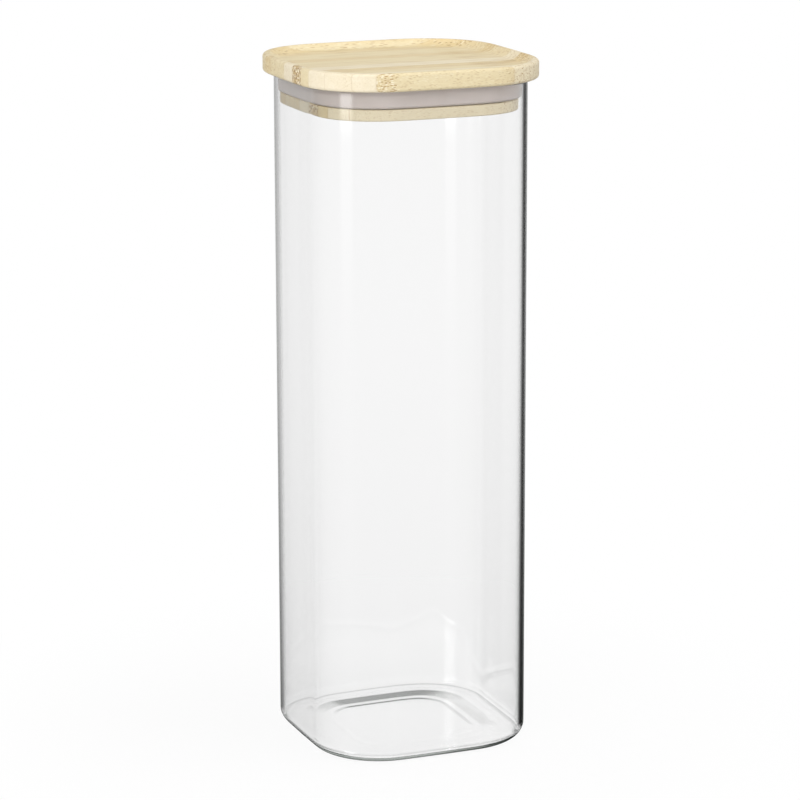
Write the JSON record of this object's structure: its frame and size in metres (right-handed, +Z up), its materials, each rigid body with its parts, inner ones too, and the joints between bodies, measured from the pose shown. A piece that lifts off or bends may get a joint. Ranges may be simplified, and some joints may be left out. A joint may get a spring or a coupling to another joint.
{
  "type": "square storage jar",
  "caption": "Tall square glass storage jar with rounded corners and a lift-off bamboo lid: a plug with a silicone seal below it and a stacking tray in its top.",
  "frame": {"origin": "middle of the jar's underside, level with the ring it stands on", "axes": "+Z up through the mouth; -Y is the broad side seen from the front, along which the lid's strips run"},
  "size_m": [0.1, 0.1, 0.2806],
  "materials": {
    "glass": "clear, fire-polished",
    "silicone": "translucent satin silicone",
    "bamboo_honey": "sanded, clear matt oil, brown fibre dots",
    "bamboo_cream": "sanded, clear matt oil",
    "bamboo_straw": "sanded, clear matt oil"
  },
  "bodies": {
    "jar": {"glass_jar": "glass"},
    "lid": {"seal_ring": "silicone", "lid_strip_01": "bamboo_cream", "lid_strip_02": "bamboo_straw", "lid_strip_03": "bamboo_honey", "lid_strip_04": "bamboo_cream", "lid_strip_05": "bamboo_straw", "lid_strip_06": "bamboo_honey", "lid_strip_07": "bamboo_cream", "lid_strip_08": "bamboo_straw", "lid_strip_09": "bamboo_honey", "lid_strip_10": "bamboo_cream", "lid_strip_11": "bamboo_straw", "lid_strip_12": "bamboo_honey", "lid_strip_13": "bamboo_cream", "lid_strip_14": "bamboo_straw", "lid_strip_15": "bamboo_honey"}
  },
  "joints": [
    {"name": "lid_lift", "type": "slide", "parent": "jar", "child": "lid", "axis": [0, 0, 1], "range_m": [0, 0.12]}
  ]
}
